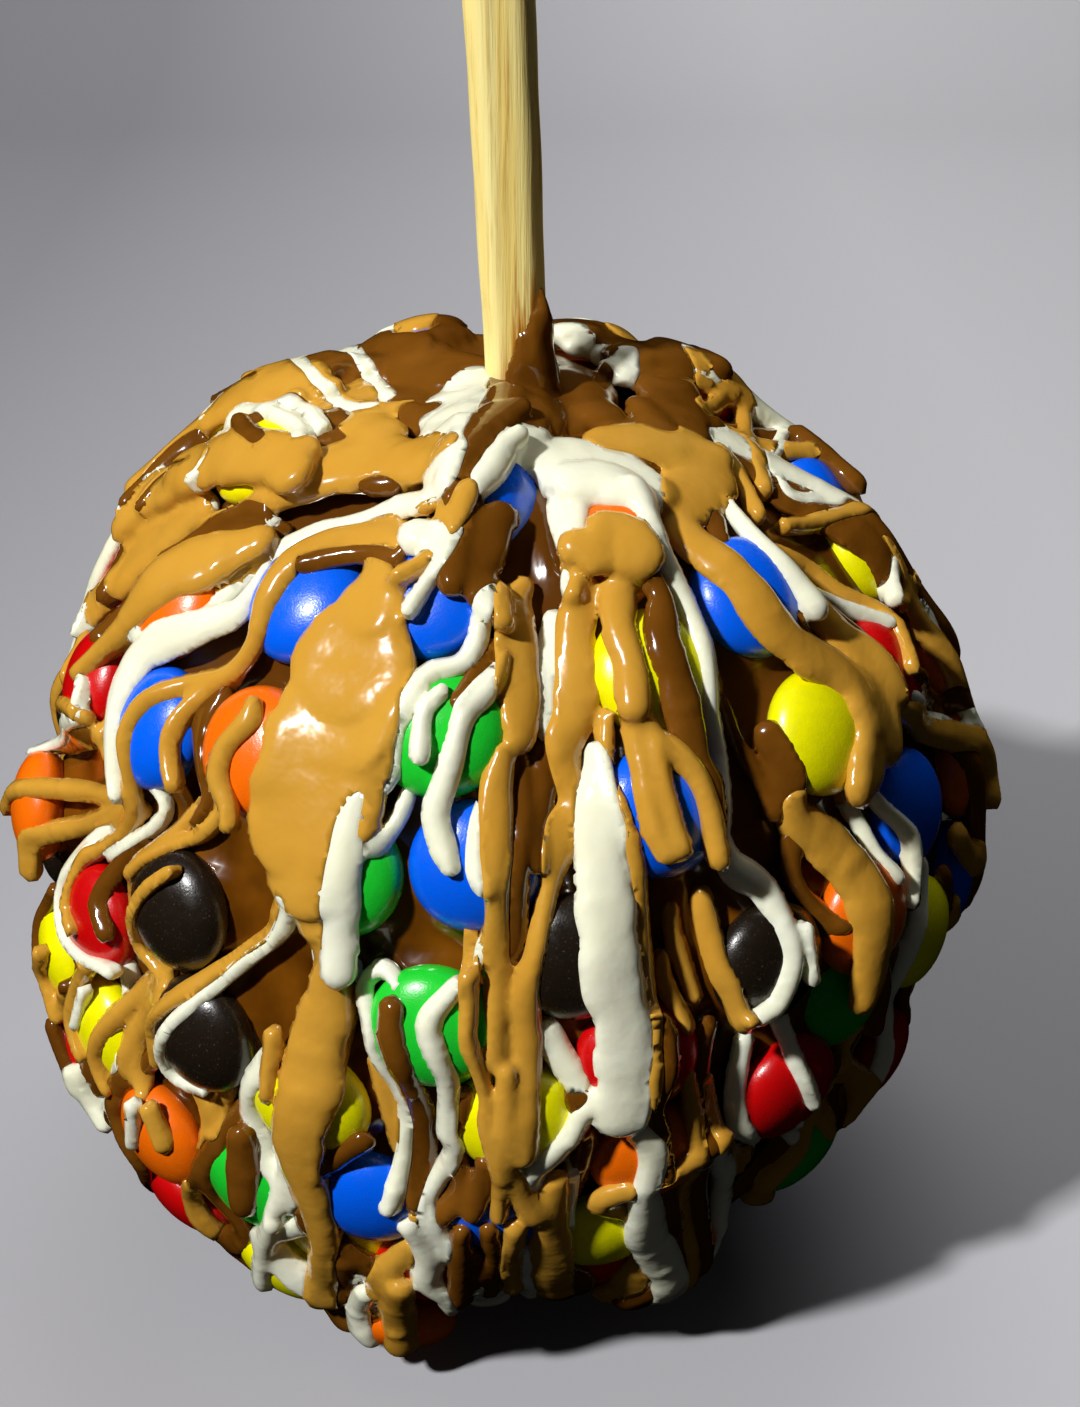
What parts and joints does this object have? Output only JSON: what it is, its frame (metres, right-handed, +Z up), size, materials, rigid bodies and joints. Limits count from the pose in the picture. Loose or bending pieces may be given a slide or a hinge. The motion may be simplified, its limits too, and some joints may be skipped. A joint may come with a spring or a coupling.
{
  "type": "caramel apple",
  "caption": "Caramel apple on a squared wooden stick, rolled in round candy lentils and drizzled with brown, tan and white sauces.",
  "frame": {"origin": "centre of the flat foot the apple stands on", "axes": "+Z up along the apple's core towards the stick, -Y towards the front, +X to the front's right"},
  "size_m": [0.109, 0.1085, 0.188],
  "materials": {
    "caramel_coat": "glossy dark caramel",
    "stick_wood": "raw pale softwood",
    "sauce_brown": "glossy milk chocolate",
    "sauce_tan": "glossy butterscotch",
    "sauce_white": "glossy white chocolate",
    "candy_yellow": "sugar shell",
    "candy_blue": "sugar shell",
    "candy_orange": "sugar shell",
    "candy_green": "sugar shell",
    "candy_red": "sugar shell",
    "candy_cocoa": "sugar shell with pale specks"
  },
  "bodies": {
    "root": {"coated_apple": "caramel_coat", "stick": "stick_wood", "drizzle_brown": "sauce_brown", "drizzle_tan": "sauce_tan", "drizzle_white": "sauce_white", "candy_yellow_01": "candy_yellow", "candy_yellow_02": "candy_yellow", "candy_yellow_03": "candy_yellow", "candy_yellow_04": "candy_yellow", "candy_yellow_05": "candy_yellow", "candy_yellow_06": "candy_yellow", "candy_yellow_07": "candy_yellow", "candy_yellow_08": "candy_yellow", "candy_yellow_09": "candy_yellow", "candy_yellow_10": "candy_yellow", "candy_yellow_11": "candy_yellow", "candy_yellow_12": "candy_yellow", "candy_blue_01": "candy_blue", "candy_blue_02": "candy_blue", "candy_blue_03": "candy_blue", "candy_blue_04": "candy_blue", "candy_blue_05": "candy_blue", "candy_blue_06": "candy_blue", "candy_blue_07": "candy_blue", "candy_blue_08": "candy_blue", "candy_blue_09": "candy_blue", "candy_blue_10": "candy_blue", "candy_blue_11": "candy_blue", "candy_blue_12": "candy_blue", "candy_blue_13": "candy_blue", "candy_orange_01": "candy_orange", "candy_orange_02": "candy_orange", "candy_orange_03": "candy_orange", "candy_orange_04": "candy_orange", "candy_orange_05": "candy_orange", "candy_orange_06": "candy_orange", "candy_orange_07": "candy_orange", "candy_orange_08": "candy_orange", "candy_orange_09": "candy_orange", "candy_orange_10": "candy_orange", "candy_orange_11": "candy_orange", "candy_green_01": "candy_green", "candy_green_02": "candy_green", "candy_green_03": "candy_green", "candy_green_04": "candy_green", "candy_green_05": "candy_green", "candy_red_01": "candy_red", "candy_red_02": "candy_red", "candy_red_03": "candy_red", "candy_red_04": "candy_red", "candy_red_05": "candy_red", "candy_red_06": "candy_red", "candy_red_07": "candy_red", "candy_red_08": "candy_red", "candy_red_09": "candy_red", "candy_red_10": "candy_red", "candy_cocoa_01": "candy_cocoa", "candy_cocoa_02": "candy_cocoa", "candy_cocoa_03": "candy_cocoa", "candy_cocoa_04": "candy_cocoa"}
  },
  "joints": []
}
